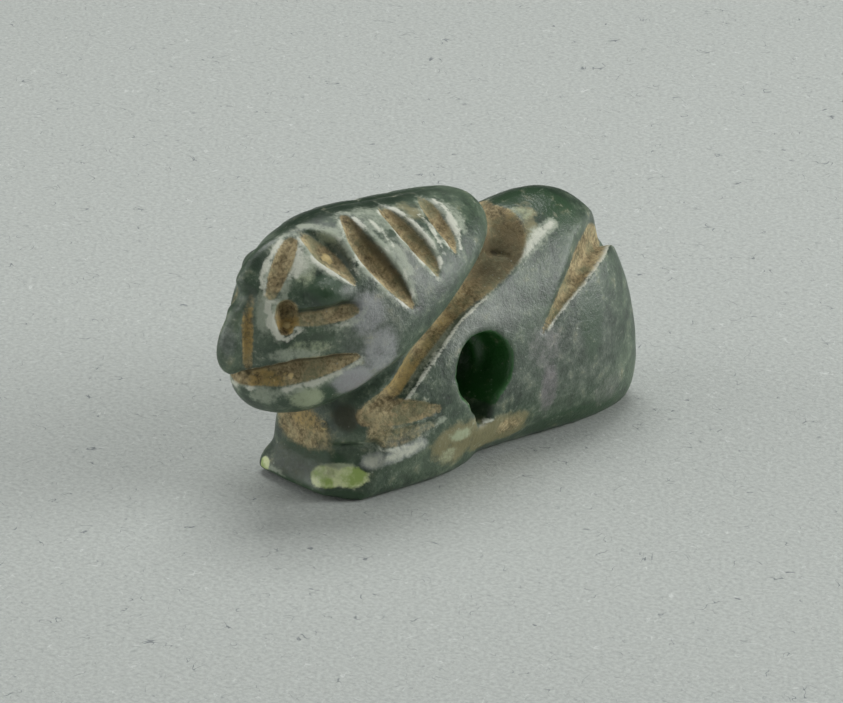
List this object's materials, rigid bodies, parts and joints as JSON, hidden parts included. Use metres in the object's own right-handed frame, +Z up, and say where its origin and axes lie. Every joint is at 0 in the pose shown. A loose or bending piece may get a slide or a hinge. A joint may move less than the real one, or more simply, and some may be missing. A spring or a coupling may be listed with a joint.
{
  "type": "sphinx amulet",
  "caption": "Small amulet carved as a lying sphinx from one piece of dark green stone, drilled from side to side so that a cord can pass through.",
  "frame": {"origin": "middle of the amulet's bounding box, on the surface it lies on", "axes": "-Y is the way the sphinx faces, +Y its rump, +X its better kept side and +Z up; the cord hole runs along X"},
  "size_m": [0.0056, 0.0156, 0.0085],
  "materials": {
    "green_stone": "polished"
  },
  "bodies": {
    "root": {"sphinx_amulet": "green_stone"}
  },
  "joints": []
}
